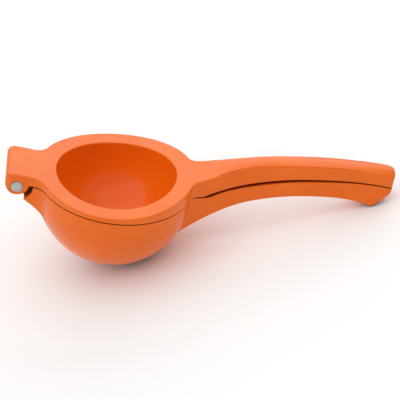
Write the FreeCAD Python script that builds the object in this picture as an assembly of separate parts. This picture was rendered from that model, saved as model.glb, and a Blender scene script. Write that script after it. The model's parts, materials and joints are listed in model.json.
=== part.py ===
import FreeCAD, Part
import math
import os

# A citrus press: two cast levers on one hinge pin. The upper lever is a ring with a press cup, a
# grip and two hinge ears. The lower lever is a drained bowl with a grip and a hinge tongue.
#
# The levers are drawn in design axes, in millimetres: Z is the axis of the bowl, the levers part
# near Z = 0, +X runs towards the grips and Y is the hinge axis. The last step lays the closed press
# down on its bowl and on the heel of its lower grip, with the middle of its underside at the origin.

Vector = FreeCAD.Vector

# Plan of both levers
ring_radius = 46.2
plate_half_width = 15.5
plate_fillet = 10.0
plate_end_x = -64.7
plate_corner = 4.0
grip_half_width = 6.3
grip_end_x = 164.6
grip_corner = 2.6
smallest_corner = 0.4
neck_corner_x = 73.0
neck_angle = math.radians(11.9)
neck_fillet = 8.0
lower_neck_fillet = 4.0
neck_blend_radius = 80.0
grip_root_length = 36.0

# Bowl and press cup
bowl_radius = 46.0
bowl_skirt = 6.0
bowl_wall = 3.2
cup_radius = 35.5
cup_wall = 3.0
cup_depth = 36.0
cup_centre_z = cup_radius - cup_depth
cup_root = 1.0
drain_diameter = 5.0
drain_pitch = 9.0
drain_rings = (1, 6, 12)
drain_top_z = -20.0

# Hinge
pin_x = -57.75
pin_z = -1.5
pin_diameter = 7.0
pin_length = 31.4
pin_dome = 0.45
pin_running_gap = 0.05
bore_chamfer = 0.6
ear_radius = 6.9
ear_centre_z = 0.4
tongue_radius = 5.0
tongue_half_width = 9.9
slot_half_width = 10.2
slot_radius = 5.5
ear_clearance_radius = 9.4
slot_end_x = -45.0
neck_root_x = -30.0

# Parting: the bowl's rim, and the ring's flat underside above it
rim_z = -0.95
parting_gap = 0.85
under_z = rim_z + parting_gap

# Walls and edges
channel_wall = 1.5
channel_skin = 3.0
channel_start_x = 54.0
channel_end_wall = 3.2
edge_round = 0.5
lower_edge_round = 0.4
bottom_round = 1.0
rim_round = 0.6
tip_slope = -1.6
shoulder_inset = 0.85
shoulder_round = 0.25
shoulder_reach = (54.0, 158.0)

# Side view of the upper lever: the top of the ring is a parabola, z = a + b x + c x^2
top_a = 3.05
top_b = 0.0535
top_c = 0.0022
top_join_x = 52.0
plate_level_x = -61.6
plate_level_z = 7.1
plate_join_x = -47.0

# Grip curves of the side view, as (x, z)
crown_stations = (
    # x, height on the centre line, curvature across the grip
    (60.0, 15.0, 0.003),
    (72.0, 19.3, 0.012),
    (86.0, 22.4, 0.018),
    (106.0, 24.7, 0.020),
    (130.0, 25.9, 0.022),
    (150.0, 25.8, 0.034),
    (159.0, 25.6, 0.045),
    (163.2, 24.9, 0.050),
    (165.5, 23.6, 0.050),
    (168.0, 20.5, 0.050),
)
shoulder_curve = ((55.0, 14.2), (61.0, 14.3), (72.0, 17.9), (86.0, 20.9), (106.0, 23.3),
                  (130.0, 24.4), (142.0, 24.4), (152.0, 26.0))
upper_underside = ((55.0, 1.35), (60.0, 3.4), (73.0, 7.6), (96.0, 13.5), (119.0, 16.25), (140.0, 17.1),
                   (168.0, 14.6))
lower_topside = ((55.0, -0.95), (60.0, 1.0), (73.0, 5.1), (96.0, 11.05), (119.0, 14.3), (140.0, 15.8),
                 (164.6, 14.4))
lower_underside = ((35.0, -30.2), (50.3, -18.1), (64.0, -10.3), (80.7, -3.4), (98.0, 1.3),
                   (121.6, 4.1), (140.0, 3.7), (153.0, 0.7))
heel_x = 154.6
heel_z = 0.2
toe_x = 164.6
toe_z = 11.6
neck_underside = ((-40.0, -19.2), (-52.1, -10.3))

# Limits that tell edges apart, by the outward normals of the faces beside them
facing = 0.5
upright = 0.12
facing_down = -0.25
smooth_join = 0.95
touching = 0.02

# How far the tools that cut through everything reach, and how far the others pass a face
tall = 100.0
overrun = 1.0


def at(x, z):
    """A point of the side view."""
    return Vector(x, 0, z)


def line(start, end):
    return Part.LineSegment(start, end).toShape()


def arc(start, middle, end):
    return Part.Arc(start, middle, end).toShape()


def spline(points, start_slope=None, end_slope=None):
    """A smooth curve through side-view points, with an optional slope at each end."""
    curve = Part.BSplineCurve()
    if start_slope is None:
        curve.interpolate([at(*point) for point in points])
    else:
        curve.interpolate(Points=[at(*point) for point in points],
                          InitialTangent=Vector(1, 0, start_slope), FinalTangent=Vector(1, 0, end_slope))
    return curve.toShape()


def slab(edges, half_width):
    """The side-view outline, made solid between -half_width and +half_width in Y."""
    wire = Part.Wire(Part.__sortEdges__(edges))
    wire.translate(Vector(0, -half_width, 0))
    return Part.Face(wire).extrude(Vector(0, 2 * half_width, 0))


def polar(radius, angle):
    return Vector(radius * math.cos(angle), radius * math.sin(angle), 0)


def mirrored(points):
    return [Vector(point.x, -point.y, 0) for point in points]


def side_of_plan(inset):
    """The +Y half of the plan outline, from the plate to the grip's tip, pulled in by inset.

    Each piece is a list of points: two for a line, three for an arc.
    """
    ring = ring_radius - inset
    plate = plate_half_width - inset
    grip = grip_half_width - inset
    end = plate_end_x + inset
    tip = grip_end_x - inset
    bend = plate_corner - inset
    turn = max(grip_corner - inset, smallest_corner)

    fillet = plate_fillet + inset
    fillet_centre = Vector(-math.sqrt((ring + fillet) ** 2 - (plate + fillet) ** 2), plate + fillet, 0)
    plate_tangent = Vector(fillet_centre.x, plate, 0)
    ring_tangent = fillet_centre * (ring / (ring + fillet))
    half_turn = (math.atan2(-1, 0) + math.atan2(-fillet_centre.y, -fillet_centre.x)) / 2
    plate_middle = fillet_centre + polar(fillet, half_turn)

    along = Vector(-math.cos(neck_angle), math.sin(neck_angle), 0)
    outward = Vector(math.sin(neck_angle), math.cos(neck_angle), 0)
    corner = Vector(neck_corner_x, grip_half_width, 0) - outward * inset
    corner = corner - along * (inset * math.tan(neck_angle / 2))
    reach = neck_fillet + inset
    offset = corner + outward * reach
    middle = offset.dot(along)
    run = -middle - math.sqrt(middle ** 2 - offset.dot(offset) + (ring + reach) ** 2)
    neck_centre = offset + along * run
    neck_tangent = neck_centre - outward * reach
    neck_ring = neck_centre * (ring / (ring + reach))
    to_line = math.atan2(-outward.y, -outward.x)
    to_ring = math.atan2(-neck_centre.y, -neck_centre.x)
    neck_middle = neck_centre + polar(reach, (to_line + to_ring) / 2)

    bow = neck_blend_radius + inset
    blend = bow * math.tan(neck_angle / 2)
    blend_start = corner + along * blend
    blend_end = corner + Vector(blend, 0, 0)
    blend_centre = Vector(blend_end.x, grip + bow, 0)
    blend_middle = blend_centre + polar(bow, -math.pi / 2 - neck_angle / 2)

    diagonal = 1 - math.sqrt(0.5)
    return [
        [Vector(end, 0, 0), Vector(end, plate - bend, 0)],
        [Vector(end, plate - bend, 0), Vector(end + bend * diagonal, plate - bend * diagonal, 0),
         Vector(end + bend, plate, 0)],
        [Vector(end + bend, plate, 0), plate_tangent],
        [plate_tangent, plate_middle, ring_tangent],
        [ring_tangent, Vector(0, ring, 0), neck_ring],
        [neck_ring, neck_middle, neck_tangent],
        [neck_tangent, blend_start],
        [blend_start, blend_middle, blend_end],
        [blend_end, Vector(tip - turn, grip, 0)],
        [Vector(tip - turn, grip, 0), Vector(tip - turn * diagonal, grip - turn * diagonal, 0),
         Vector(tip, grip - turn, 0)],
        [Vector(tip, grip - turn, 0), Vector(tip, 0, 0)],
    ]


def plan_prism(inset=0.0):
    """The plan outline, pulled in by inset, as a tall vertical prism."""
    edges = []
    for points in side_of_plan(inset):
        for run in (points, mirrored(points)):
            edges.append(line(*run) if len(run) == 2 else arc(*run))
    wire = Part.Wire(Part.__sortEdges__(edges))
    wire.translate(Vector(0, 0, -tall))
    return Part.Face(wire).extrude(Vector(0, 0, 2 * tall))


def block(x_start, x_end, half_width, z_low, z_high):
    """A plain box, centred on the XZ plane."""
    corner = Vector(x_start, -half_width, z_low)
    return Part.makeBox(x_end - x_start, 2 * half_width, z_high - z_low, corner)


def cross_cylinder(radius, half_length, x, z):
    """A cylinder along Y, centred on the XZ plane."""
    return Part.makeCylinder(radius, 2 * half_length, Vector(x, -half_length, z), Vector(0, 1, 0))


def round_pot(radius, rim_z, centre_z):
    """A cylinder that stands on a half ball: the solid form of a bowl with its rim at rim_z."""
    ball = Part.makeSphere(radius, Vector(0, 0, centre_z), Vector(0, 0, 1), -90, 0, 360)
    return ball.fuse(Part.makeCylinder(radius, rim_z - centre_z, Vector(0, 0, centre_z)))


def top_z(x):
    return top_a + top_b * x + top_c * x ** 2


def top_slope(x):
    return top_b + 2 * top_c * x


def ring_top_edge():
    """The parabola of the ring's top, from the hinge plate to the grip."""
    start = at(plate_join_x, top_z(plate_join_x))
    end = at(top_join_x, top_z(top_join_x))
    middle_x = (plate_join_x + top_join_x) / 2
    middle = at(middle_x, start.z + top_slope(plate_join_x) * (middle_x - plate_join_x))
    parabola = Part.BezierCurve()
    parabola.setPoles([start, middle, end])
    return parabola.toShape()


def ring_and_ears():
    """Side view of the ring, the hinge plate and the ears, up to where the grip begins."""
    ear_x = plate_end_x + ear_radius
    ear_side = ear_x + math.sqrt(ear_radius ** 2 - (under_z - ear_centre_z) ** 2)
    ear_left = at(plate_end_x, ear_centre_z)
    round_radius = plate_level_x - plate_end_x
    round_start = at(plate_end_x, plate_level_z - round_radius)
    diagonal = round_radius * math.sqrt(0.5)
    round_middle = at(plate_level_x - diagonal, plate_level_z - round_radius + diagonal)
    level = at(plate_level_x, plate_level_z)
    join = (plate_join_x, top_z(plate_join_x))
    return [
        line(ear_left, round_start),
        arc(round_start, round_middle, level),
        spline([(plate_level_x, plate_level_z), join], 0, top_slope(plate_join_x)),
        ring_top_edge(),
        line(at(top_join_x, top_z(top_join_x)), at(top_join_x, under_z)),
        line(at(top_join_x, under_z), at(ear_side, under_z)),
        arc(at(ear_side, under_z), at(ear_x, ear_centre_z - ear_radius), ear_left),
    ]


def crowned_block():
    """A tall block under the crowned top of the grip: z = height - curvature * y^2."""
    half = 2 * plate_half_width
    stations = [(top_join_x, top_z(top_join_x), 0.0)] + list(crown_stations)
    spine = Part.BSplineCurve()
    spine.interpolate(
        Points=[Vector(x, 100 * curvature, height) for x, height, curvature in stations],
        InitialTangent=Vector(1, 0, top_slope(top_join_x)),
        FinalTangent=Vector(1, 0, tip_slope),
    )
    rows = []
    for pole in spine.getPoles():
        drop = pole.y / 100 * half ** 2
        rows.append([
            Vector(pole.x, -half, pole.z - drop),
            Vector(pole.x, 0, pole.z + drop),
            Vector(pole.x, half, pole.z - drop),
        ])
    surface = Part.BSplineSurface()
    surface.buildFromPolesMultsKnots(
        rows, spine.getMultiplicities(), [3, 3], spine.getKnots(), [0, 1], False, False, spine.Degree, 2)
    return surface.toShape().extrude(Vector(0, 0, -tall))


def under_curve(points, z_far):
    """Side view of everything from a curve to the level z_far."""
    first = at(*points[0])
    last = at(*points[-1])
    return [
        spline(points),
        line(last, at(last.x, z_far)),
        line(at(last.x, z_far), at(first.x, z_far)),
        line(at(first.x, z_far), first),
    ]


def upper_grip():
    """The solid grip of the upper lever with its crowned top and rounded tip."""
    underside = [(top_join_x, under_z)] + list(upper_underside)
    side = [
        spline(underside),
        line(at(*underside[-1]), at(underside[-1][0], tall)),
        line(at(underside[-1][0], tall), at(top_join_x, tall)),
        line(at(top_join_x, tall), at(*underside[0])),
    ]
    return crowned_block().common(slab(side, tall))


def shoulder_cut():
    """What is taken off along both edges of the grip's top, which leaves a narrow shoulder."""
    band = slab(under_curve(shoulder_curve, tall), tall)
    return band.cut(plan_prism(shoulder_inset))


def upper_channel():
    """The hollow in the underside of the upper grip."""
    roof = [(x, height - channel_skin - curvature * grip_half_width ** 2)
            for x, height, curvature in crown_stations if x < grip_end_x - 2 * channel_end_wall]
    roof = [(channel_start_x, top_z(channel_start_x) - channel_skin)] + roof
    roof.append((grip_end_x - channel_end_wall, roof[-1][1] - channel_skin / 2))
    return plan_prism(channel_wall).common(slab(under_curve(roof, -tall), tall))


def edge_middle(edge):
    return edge.valueAt((edge.FirstParameter + edge.LastParameter) / 2)


def normals_beside(body, edge):
    """The outward normals of the faces that meet at the middle of an edge."""
    point = edge_middle(edge)
    normals = []
    for face in body.ancestorsOfType(edge, Part.Face):
        u, v = face.Surface.parameter(point)
        normals.append(face.normalAt(u, v))
    return normals


def top_edges(body):
    """The edges between a face that looks up and an upright wall: the outside ones and the cup's rim."""
    outside = []
    rim = []
    for edge in body.Edges:
        if edge.Degenerated:
            continue
        heights = sorted(normal.z for normal in normals_beside(body, edge))
        if len(heights) < 2 or heights[-1] < facing or abs(heights[0]) > upright:
            continue
        point = edge_middle(edge)
        if math.hypot(point.x, point.y) < cup_radius + rim_round:
            rim.append(edge)
        else:
            outside.append(edge)
    return outside, rim


def shoulder_edges(body):
    """The long edges of the shoulder: its outer edge, its inside corner and the top of its riser."""
    edges = []
    for edge in body.Edges:
        if edge.Degenerated or not shoulder_reach[0] < edge_middle(edge).x < shoulder_reach[1]:
            continue
        heights = sorted(normals_beside(body, edge), key=lambda normal: normal.z)
        if len(heights) < 2 or heights[-1].z < facing or abs(heights[0].z) > upright:
            continue
        if heights[0].y * math.copysign(1, edge_middle(edge).y) > facing:
            edges.append(edge)
    return edges


def pin_bore(radius):
    return cross_cylinder(radius, tall, pin_x, pin_z)


def bore_chamfers():
    """Two cones that break the edges of the pin's holes in the outer faces of the ears."""
    cones = []
    for side in (-1, 1):
        face = Vector(pin_x, side * plate_half_width, pin_z)
        inside = face - Vector(0, side * bore_chamfer, 0)
        cones.append(Part.makeCone(pin_diameter / 2, pin_diameter / 2 + bore_chamfer, bore_chamfer,
                                   inside, Vector(0, side, 0)))
    return cones


def ear_slot():
    """The room between the ears, rounded over the hinge tongue."""
    low = ear_centre_z - ear_radius - overrun
    slot = cross_cylinder(slot_radius, slot_half_width, pin_x, pin_z)
    slot = slot.fuse(block(plate_end_x - overrun, pin_x, slot_half_width, low, pin_z + slot_radius))
    return slot.fuse(block(pin_x, slot_end_x, slot_half_width, low, under_z))


def upper_lever():
    body = slab(ring_and_ears(), tall).fuse(upper_grip())
    body = body.common(plan_prism())
    pot = round_pot(cup_radius + cup_wall, cup_centre_z + cup_root, cup_centre_z)
    body = body.fuse(pot).cut(round_pot(cup_radius, tall, cup_centre_z)).removeSplitter()
    outside, rim = top_edges(body)
    body = body.makeFillet(edge_round, outside + rim)
    body = body.cut(shoulder_cut())
    body = body.makeFillet(shoulder_round, shoulder_edges(body))
    body = body.cut(upper_channel())
    body = body.cut(ear_slot())
    body = body.cut(pin_bore(pin_diameter / 2))
    for cone in bore_chamfers():
        body = body.cut(cone)
    return body


def neck_plan():
    """Plan of the lower lever's hinge neck and grip, run on into the bowl, as a tall prism."""
    outline = side_of_plan(0.0)
    plate_start = outline[2][0]
    neck_end = outline[6][1]
    inner_x = neck_end.x - grip_root_length
    inner = Vector(inner_x, neck_end.y + (neck_end.x - inner_x) * math.tan(neck_angle), 0)
    grip_edges = [[inner, neck_end]] + outline[7:]
    edges = [line(inner, Vector(inner.x, -inner.y, 0))]
    for points in grip_edges:
        for run in (points, mirrored(points)):
            edges.append(line(*run) if len(run) == 2 else arc(*run))
    wire = Part.Wire(Part.__sortEdges__(edges))
    wire.translate(Vector(0, 0, -tall))
    grip = Part.Face(wire).extrude(Vector(0, 0, 2 * tall))
    hinge = block(plate_start.x - plate_corner, neck_root_x, plate_half_width, -tall, tall)
    return grip, hinge


def lower_grip_side():
    """Side view of the lower grip with its heel."""
    heel = at(heel_x, heel_z)
    toe = at(toe_x, toe_z)
    underside = spline(lower_underside)
    topside = [(top_join_x, rim_z)] + list(lower_topside)
    start = at(*lower_underside[0])
    return [
        underside,
        line(at(*lower_underside[-1]), heel),
        line(heel, toe),
        line(toe, at(*topside[-1])),
        spline(topside),
        line(at(*topside[0]), at(start.x, rim_z)),
        line(at(start.x, rim_z), start),
    ]


def bottom_edges(body):
    """The convex edges round the underside of the grip, its heel and its toe."""
    edges = []
    for edge in body.Edges:
        if edge.Degenerated:
            continue
        normals = normals_beside(body, edge)
        heights = sorted(normal.z for normal in normals)
        if heights[0] < facing_down and heights[-1] < upright and normals[0].dot(normals[1]) < smooth_join:
            edges.append(edge)
    return edges


def lower_grip(plan):
    """The solid lower grip, rounded along its underside."""
    grip = slab(lower_grip_side(), tall).common(plan).removeSplitter()
    return grip.makeFillet(bottom_round, bottom_edges(grip))


def heel_centre():
    """The centre of the rounding at the heel, in the side view."""
    heel = at(heel_x, heel_z)
    back = (at(*lower_underside[-1]) - heel).normalize()
    forward = (at(toe_x, toe_z) - heel).normalize()
    inward = (back + forward).normalize()
    half_angle = math.acos(back.dot(forward)) / 2
    return heel + inward * (bottom_round / math.sin(half_angle))


def hinge_neck_side():
    """Side view of the neck that carries the hinge tongue."""
    inner, outer = [at(*point) for point in neck_underside]
    return [
        line(inner, outer),
        line(outer, at(pin_x, pin_z - tongue_radius)),
        line(at(pin_x, pin_z - tongue_radius), at(pin_x, rim_z)),
        line(at(pin_x, rim_z), at(inner.x, rim_z)),
        line(at(inner.x, rim_z), inner),
    ]


def bowl_joint_edges(body):
    """The edges where the necks run into the outside of the bowl."""
    joints = []
    for edge in body.Edges:
        if edge.Degenerated:
            continue
        point = edge_middle(edge)
        level = min(point.z + bowl_skirt, 0)
        distance = math.sqrt(point.x ** 2 + point.y ** 2 + level ** 2)
        normals = normals_beside(body, edge)
        bent = len(normals) == 2 and normals[0].dot(normals[1]) < smooth_join
        if bent and abs(distance - bowl_radius) < touching and point.z < rim_z - touching:
            joints.append(edge)
    return joints


def lower_blank():
    """The lower lever before it is hollowed: bowl, hinge neck and grip, run together with fillets."""
    grip, hinge = neck_plan()
    body = lower_grip(grip).fuse(slab(hinge_neck_side(), tall).common(hinge))
    body = body.fuse(round_pot(bowl_radius, rim_z, -bowl_skirt)).removeSplitter()
    grip_joint = [edge for edge in bowl_joint_edges(body) if edge_middle(edge).x > 0]
    body = body.makeFillet(lower_neck_fillet, grip_joint)
    hinge_joint = [edge for edge in bowl_joint_edges(body) if edge_middle(edge).x < 0]
    body = body.makeFillet(plate_fillet, hinge_joint)
    outside = [edge for edge in top_edges(body)[0] if edge_middle(edge).x > pin_x + tongue_radius]
    return body.makeFillet(lower_edge_round, outside)


def hinge_tongue():
    """The middle of the hinge neck, rounded about the pin."""
    tongue = slab(hinge_neck_side(), tongue_half_width)
    return tongue.fuse(cross_cylinder(tongue_radius, tongue_half_width, pin_x, pin_z))


def ear_rooms():
    """The rooms that the ears turn in, one on each side of the tongue."""
    depth = plate_half_width + overrun - tongue_half_width
    reach = pin_x - plate_end_x
    rooms = []
    for start_y in (tongue_half_width, -tongue_half_width - depth):
        start = Vector(pin_x, start_y, pin_z)
        turning = Part.makeCylinder(ear_clearance_radius, depth, start, Vector(0, 1, 0))
        beyond = Part.makeBox(2 * reach, depth, 2 * ear_clearance_radius,
                              Vector(pin_x - 2 * reach, start_y, pin_z - ear_clearance_radius))
        rooms.append(turning.fuse(beyond))
    return rooms


def lower_channel():
    """The hollow in the top of the lower grip."""
    floor = [(x, z + channel_skin) for x, z in lower_underside if channel_start_x < x < heel_x]
    (before_x, before_z), (after_x, after_z) = lower_underside[1:3]
    slope = (after_z - before_z) / (after_x - before_x)
    first_z = before_z + slope * (channel_start_x - before_x) + channel_skin
    floor = [(channel_start_x, first_z)] + floor
    return plan_prism(channel_wall).common(slab(under_curve(floor, tall), tall))


def drains():
    """The drain holes: one on the axis, and rings of holes around it."""
    holes = []
    for ring, count in enumerate(drain_rings):
        for place in range(count):
            angle = 2 * math.pi * (place + 0.5) / count
            spot = polar(ring * drain_pitch, angle)
            below = spot + Vector(0, 0, drain_top_z - tall)
            holes.append(Part.makeCylinder(drain_diameter / 2, tall, below))
    return holes


def lower_lever():
    body = lower_blank()
    for room in ear_rooms():
        body = body.cut(room)
    body = body.fuse(hinge_tongue())
    body = body.cut(round_pot(bowl_radius - bowl_wall, tall, -bowl_skirt))
    body = body.cut(lower_channel())
    body = body.cut(pin_bore(pin_diameter / 2 + pin_running_gap))
    for hole in drains():
        body = body.cut(hole)
    return body


def hinge_pin():
    """The pin, with a slightly domed face at each end."""
    radius = pin_diameter / 2
    half = pin_length / 2
    flank = half - pin_dome
    dome_radius = (radius ** 2 + pin_dome ** 2) / (2 * pin_dome)
    pin = cross_cylinder(radius, flank, pin_x, pin_z)
    for side in (-1, 1):
        along = Vector(0, side, 0)
        axis_point = Vector(pin_x, 0, pin_z)
        ball = Part.makeSphere(dome_radius, axis_point + along * (half - dome_radius))
        end = Part.makeCylinder(radius, 2 * pin_dome, axis_point + along * flank, along)
        pin = pin.fuse(end.common(ball))
    return pin.removeSplitter()


def lay_down(shapes):
    """Turn the closed press until bowl and heel touch the table, and centre it over the origin."""
    heel = heel_centre() + at(0, bowl_skirt)
    tilt = math.atan2(heel.z, heel.x) + math.asin((bowl_radius - bottom_round) / heel.Length)
    for shape in shapes:
        shape.translate(Vector(0, 0, bowl_skirt))
        shape.rotate(Vector(0, 0, 0), Vector(0, 1, 0), math.degrees(tilt))
    boxes = [shape.optimalBoundingBox(False, False) for shape in shapes]
    middle_x = (min(box.XMin for box in boxes) + max(box.XMax for box in boxes)) / 2
    for shape in shapes:
        shape.translate(Vector(-middle_x, 0, bowl_radius))
    return tilt, middle_x


def main():
    parts = {"upper_lever": upper_lever(), "lower_lever": lower_lever(), "hinge_pin": hinge_pin()}
    tilt, middle_x = lay_down(parts.values())
    os.makedirs("parts", exist_ok=True)
    for name, shape in parts.items():
        shape.exportStep("parts/" + name + ".step")
        box = shape.optimalBoundingBox(False, False)
        print(name, "valid", shape.isValid(), "solids", len(shape.Solids), "volume", round(shape.Volume, 1),
              "x", round(box.XMin, 2), round(box.XMax, 2), "y", round(box.YMin, 2), round(box.YMax, 2),
              "z", round(box.ZMin, 2), round(box.ZMax, 2))
    turned = FreeCAD.Rotation(Vector(0, 1, 0), math.degrees(tilt))
    pin = turned.multVec(Vector(pin_x, 0, pin_z + bowl_skirt)) + Vector(-middle_x, 0, bowl_radius)
    print("tilt", round(math.degrees(tilt), 3), "pin axis at", [round(value, 4) for value in pin])


main()
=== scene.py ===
import json
import math
import bpy
from mathutils import Matrix, Vector

# The citrus press in glossy orange enamel with a bright steel hinge pin, on a pale floor in soft
# studio light. The shapes are the imported levers and pin; this script gives them their finish,
# with painted shade in the enamel's hollows and gaps.
# All lengths are in metres.

MM = 0.001

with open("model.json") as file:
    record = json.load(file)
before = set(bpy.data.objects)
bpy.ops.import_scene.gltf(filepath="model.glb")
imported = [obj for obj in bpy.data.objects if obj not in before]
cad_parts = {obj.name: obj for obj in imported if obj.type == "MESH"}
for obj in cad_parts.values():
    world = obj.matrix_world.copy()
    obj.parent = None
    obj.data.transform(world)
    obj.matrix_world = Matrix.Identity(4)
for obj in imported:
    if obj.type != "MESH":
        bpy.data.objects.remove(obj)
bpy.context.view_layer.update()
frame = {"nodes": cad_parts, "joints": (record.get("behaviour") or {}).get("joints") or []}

# ---- colours, linear ----
ENAMEL = (0.84, 0.152, 0.004)
ENAMEL_DEEP = (0.79, 0.126, 0.003)
ENAMEL_THIN = (0.86, 0.230, 0.040)
# painted shade: the dark colour put into narrow hollows and the gaps between pieces
ENAMEL_PAINTED_SHADE = (0.10, 0.008, 0.001)
STEEL = (0.46, 0.46, 0.44)
STEEL_DARK = (0.33, 0.33, 0.32)
FLOOR = (0.90, 0.90, 0.895)
FLOOR_GREY = (0.5, 0.5, 0.5)
WHITE = (1.0, 1.0, 1.0)

# ---- enamel: the size of each feature, and its gloss ----
POOL_CELL = 38 * MM
MOTTLE_CELL = 4 * MM
PEEL_FINE_CELL = 1.6 * MM
PEEL_SWELL_CELL = 7 * MM
PEEL_SWELL_SHARE = 1.6
PEEL_STRENGTH = 0.16
PEEL_HEIGHT = 0.05 * MM
EDGE_RADIUS = 0.7 * MM
EDGE_BEND = (0.01, 0.12)
EDGE_PALE = 0.55
EDGE_ROUGHER = 0.06
POOL_DEPTH = 0.7
# painted shade: how far the occlusion test reaches, and the openness range over which the colour
# darkens
SHADE_REACH = 6 * MM
SHADE_OPENNESS = (0.30, 0.68)
ENAMEL_ROUGHNESS = (0.20, 0.27)
ENAMEL_SPECULAR = 0.22
ENAMEL_COAT = 0.12
ENAMEL_COAT_ROUGHNESS = 0.06

# ---- steel ----
RING_PITCH = 0.22 * MM
SCUFF_CELL = 1.5 * MM
STAIN_CELL = 2.4 * MM
SCUFF_HEIGHT = 0.6
SCUFF_ROUGHER = 0.12
STEEL_ROUGHNESS = (0.26, 0.34)
STEEL_BUMP_STRENGTH = 0.25
STEEL_BUMP_HEIGHT = 0.02 * MM

# ---- floor and light ----
FLOOR_HALF = 6.0
TOOTH_CELL = 3 * MM
TOOTH_STRENGTH = 0.05
TOOTH_HEIGHT = 0.1 * MM
FLOOR_SHADE_CELL = 300 * MM
FLOOR_SHADE_DEPTH = 0.02
WORLD_STRENGTH = 0.56
# name, place, the point it faces, width, height, watts
LAMPS = (
    ("overhead", (0.0, -0.2, 1.3), (0, 0, 0), 2.6, 2.0, 14.0),
    ("back_wall", (0.35, 1.4, 0.85), (0, 0, 0.05), 2.2, 1.0, 10.0),
    ("left", (-1.2, -0.5, 0.6), (0, 0, 0), 0.5, 0.9, 2.4),
)

# ---- camera ----
CAMERA_AIM = Vector((-5.3 * MM, 0.0, 25.2 * MM))
CAMERA_DISTANCE = 924.3 * MM
CAMERA_AZIMUTH = math.radians(4.27)
CAMERA_ELEVATION = math.radians(34.30)
CAMERA_ROLL = math.radians(-13.64)
CAMERA_LENS = 138.8
SENSOR_WIDTH = 36.0


class Nodes:
    """A short way to write one node tree: add nodes, set their inputs, link them."""

    def __init__(self, tree):
        self.tree = tree
        tree.nodes.clear()

    def add(self, kind, inputs=None, **settings):
        """A node of this kind; an input is a value, or the output socket that feeds it."""
        node = self.tree.nodes.new(kind)
        for setting, value in settings.items():
            setattr(node, setting, value)
        for key, value in (inputs or {}).items():
            if isinstance(value, bpy.types.NodeSocket):
                self.tree.links.new(value, node.inputs[key])
            else:
                node.inputs[key].default_value = value
        return node

    def math(self, operation, *values):
        return self.add("ShaderNodeMath", dict(enumerate(values)), operation=operation).outputs[0]

    def vector(self, operation, *values):
        node = self.add("ShaderNodeVectorMath", dict(enumerate(values)), operation=operation)
        return node.outputs["Value" if operation in ("LENGTH", "DOT_PRODUCT") else "Vector"]

    def ramp(self, value, low, high, to_low=0.0, to_high=1.0):
        """Maps low..high smoothly to to_low..to_high."""
        inputs = {
            "Value": value,
            "From Min": low,
            "From Max": high,
            "To Min": to_low,
            "To Max": to_high,
        }
        node = self.add("ShaderNodeMapRange", inputs, interpolation_type="SMOOTHSTEP")
        return node.outputs["Result"]

    def mix(self, factor, first, second):
        inputs = {"Factor": factor, "A": first, "B": second}
        return self.add("ShaderNodeMix", inputs, data_type="RGBA").outputs["Result"]

    def noise(self, place, cell, detail=2.0):
        """Smooth noise whose features are about cell metres across."""
        inputs = {"Vector": place, "Scale": 1 / cell, "Detail": detail}
        return self.add("ShaderNodeTexNoise", inputs).outputs["Fac"]


def rgba(colour):
    return (*colour, 1.0)


def new_material(name):
    material = bpy.data.materials.new(name)
    material.use_nodes = True
    return material, Nodes(material.node_tree)


def enamel_material(name):
    """Thick glossy enamel: a soft orange-peel surface, faint pooling of colour, thinner on edges.

    Narrow hollows and the gaps between the pieces hold shade, and it is painted into the colour,
    which darkens there.
    """
    material, nodes = new_material(name)
    place = nodes.add("ShaderNodeTexCoord").outputs["Object"]
    pooling = nodes.ramp(nodes.noise(place, POOL_CELL), 0.35, 0.65)
    mottle = nodes.noise(place, MOTTLE_CELL, 3.0)
    rounded = nodes.add("ShaderNodeBevel", {"Radius": EDGE_RADIUS}, samples=6).outputs["Normal"]
    flat = nodes.add("ShaderNodeNewGeometry").outputs["Normal"]
    bend = nodes.math("SUBTRACT", 1.0, nodes.vector("DOT_PRODUCT", rounded, flat))
    edge = nodes.ramp(bend, *EDGE_BEND)
    edge = nodes.math("MULTIPLY", edge, nodes.ramp(mottle, 0.30, 0.60, 0.5, 1.0))
    pooled = nodes.math("MULTIPLY", pooling, POOL_DEPTH)
    colour = nodes.mix(pooled, rgba(ENAMEL), rgba(ENAMEL_DEEP))
    colour = nodes.mix(nodes.math("MULTIPLY", edge, EDGE_PALE), colour, rgba(ENAMEL_THIN))
    # Painted shade: where ambient occlusion finds the surface closed in, the colour is darkened
    # towards the shade colour.
    open_sky = nodes.add("ShaderNodeAmbientOcclusion", {"Distance": SHADE_REACH}, samples=8)
    clear_of_painted_shade = nodes.ramp(open_sky.outputs["AO"], *SHADE_OPENNESS)
    colour = nodes.mix(clear_of_painted_shade, rgba(ENAMEL_PAINTED_SHADE), colour)
    gloss = nodes.ramp(mottle, 0.3, 0.7, *ENAMEL_ROUGHNESS)
    roughness = nodes.math("ADD", gloss, nodes.math("MULTIPLY", edge, EDGE_ROUGHER))
    swell = nodes.math("MULTIPLY", nodes.noise(place, PEEL_SWELL_CELL, 1.0), PEEL_SWELL_SHARE)
    peel = nodes.math("ADD", nodes.noise(place, PEEL_FINE_CELL, 1.0), swell)
    bump = nodes.add("ShaderNodeBump", {
        "Height": peel,
        "Strength": PEEL_STRENGTH,
        "Distance": PEEL_HEIGHT,
    })
    shader = nodes.add("ShaderNodeBsdfPrincipled", {
        "Base Color": colour,
        "Roughness": roughness,
        "Specular IOR Level": ENAMEL_SPECULAR,
        "Normal": bump.outputs["Normal"],
        "Coat Weight": ENAMEL_COAT,
        "Coat Roughness": ENAMEL_COAT_ROUGHNESS,
    })
    nodes.add("ShaderNodeOutputMaterial", {"Surface": shader.outputs[0]})
    return material


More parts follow.
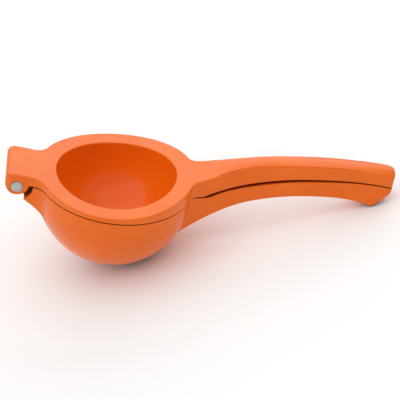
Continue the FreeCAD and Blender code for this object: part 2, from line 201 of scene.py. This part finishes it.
def steel_material(name, axis_point):
    """Turned steel: fine rings round the pin's own axis, with a few faint scuffs."""
    material, nodes = new_material(name)
    place = nodes.add("ShaderNodeTexCoord").outputs["Object"]
    across = (1.0, 0.0, 1.0)
    from_axis = nodes.vector("MULTIPLY", nodes.vector("SUBTRACT", place, axis_point), across)
    radius = nodes.vector("LENGTH", from_axis)
    rings = nodes.math("SINE", nodes.math("MULTIPLY", radius, 2 * math.pi / RING_PITCH))
    rings = nodes.ramp(rings, -1.0, 1.0)
    scuffs = nodes.ramp(nodes.noise(place, SCUFF_CELL, 4.0), 0.52, 0.70)
    stain = nodes.ramp(nodes.noise(place, STAIN_CELL), 0.45, 0.75, 0.0, 0.5)
    colour = nodes.mix(stain, rgba(STEEL), rgba(STEEL_DARK))
    height = nodes.math("ADD", rings, nodes.math("MULTIPLY", scuffs, SCUFF_HEIGHT))
    bump = nodes.add("ShaderNodeBump", {
        "Height": height,
        "Strength": STEEL_BUMP_STRENGTH,
        "Distance": STEEL_BUMP_HEIGHT,
    })
    turned = nodes.ramp(rings, 0.0, 1.0, *STEEL_ROUGHNESS)
    roughness = nodes.math("ADD", turned, nodes.math("MULTIPLY", scuffs, SCUFF_ROUGHER))
    shader = nodes.add("ShaderNodeBsdfPrincipled", {
        "Base Color": colour,
        "Metallic": 1.0,
        "Roughness": roughness,
        "Normal": bump.outputs["Normal"],
    })
    nodes.add("ShaderNodeOutputMaterial", {"Surface": shader.outputs[0]})
    return material


def floor_material(name):
    """A matt pale sweep with a barely visible tooth."""
    material, nodes = new_material(name)
    place = nodes.add("ShaderNodeTexCoord").outputs["Object"]
    tooth = nodes.noise(place, TOOTH_CELL)
    shade = nodes.ramp(nodes.noise(place, FLOOR_SHADE_CELL, 1.0), 0.3, 0.7, 0.0, FLOOR_SHADE_DEPTH)
    colour = nodes.mix(shade, rgba(FLOOR), rgba(FLOOR_GREY))
    bump = nodes.add("ShaderNodeBump", {
        "Height": tooth,
        "Strength": TOOTH_STRENGTH,
        "Distance": TOOTH_HEIGHT,
    })
    shader = nodes.add("ShaderNodeBsdfPrincipled", {
        "Base Color": colour,
        "Roughness": 0.9,
        "Specular IOR Level": 0.1,
        "Normal": bump.outputs["Normal"],
    })
    nodes.add("ShaderNodeOutputMaterial", {"Surface": shader.outputs[0]})
    return material


def give(node_name, material):
    """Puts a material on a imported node, in place of the plain one it came with."""
    node = frame["nodes"][node_name]
    for slot in node.material_slots:
        slot.material = material


def add_lamp(name, place, target, width, height, watts):
    """A rectangular lamp at place, facing target."""
    lamp = bpy.data.lights.new(name, "AREA")
    lamp.shape = "RECTANGLE"
    lamp.size = width
    lamp.size_y = height
    lamp.energy = watts
    holder = bpy.data.objects.new(name, lamp)
    holder.location = place
    facing = Vector(target) - Vector(place)
    holder.rotation_euler = facing.to_track_quat("-Z", "Y").to_euler()
    bpy.context.scene.collection.objects.link(holder)


def add_floor():
    half = FLOOR_HALF
    corners = [(-half, -half, 0), (half, -half, 0), (half, half, 0), (-half, half, 0)]
    mesh = bpy.data.meshes.new("floor")
    mesh.from_pydata(corners, [], [(0, 1, 2, 3)])
    floor = bpy.data.objects.new("floor", mesh)
    bpy.context.scene.collection.objects.link(floor)
    mesh.materials.append(floor_material("floor_pale"))


def add_world():
    world = bpy.data.worlds.new("studio")
    bpy.context.scene.world = world
    world.use_nodes = True
    nodes = Nodes(world.node_tree)
    sky = nodes.add("ShaderNodeBackground", {"Color": rgba(WHITE), "Strength": WORLD_STRENGTH})
    nodes.add("ShaderNodeOutputWorld", {"Surface": sky.outputs[0]})


def add_camera():
    """A camera aimed at a point on the press, turned by azimuth, elevation and roll."""
    turn = Matrix.Rotation(CAMERA_AZIMUTH, 4, "Z")
    turn = turn @ Matrix.Rotation(math.pi / 2 - CAMERA_ELEVATION, 4, "X")
    turn = turn @ Matrix.Rotation(CAMERA_ROLL, 4, "Z")
    data = bpy.data.cameras.new("camera")
    data.lens = CAMERA_LENS
    data.sensor_width = SENSOR_WIDTH
    camera = bpy.data.objects.new("camera", data)
    back = turn @ Vector((0, 0, 1))
    camera.matrix_world = Matrix.Translation(CAMERA_AIM + CAMERA_DISTANCE * back) @ turn
    bpy.context.scene.collection.objects.link(camera)
    bpy.context.scene.camera = camera


hinge = Vector(frame["joints"][0]["pos_m"])
# The enamel materials also paint shade into hollows and the gaps between the levers.
give("upper_lever", enamel_material("upper_enamel_and_painted_shade"))
give("lower_lever", enamel_material("lower_enamel_and_painted_shade"))
give("hinge_pin", steel_material("pin_steel_finish", hinge))

add_floor()
add_world()
for lamp_row in LAMPS:
    add_lamp(*lamp_row)
add_camera()

bpy.context.scene.view_settings.view_transform = "Standard"
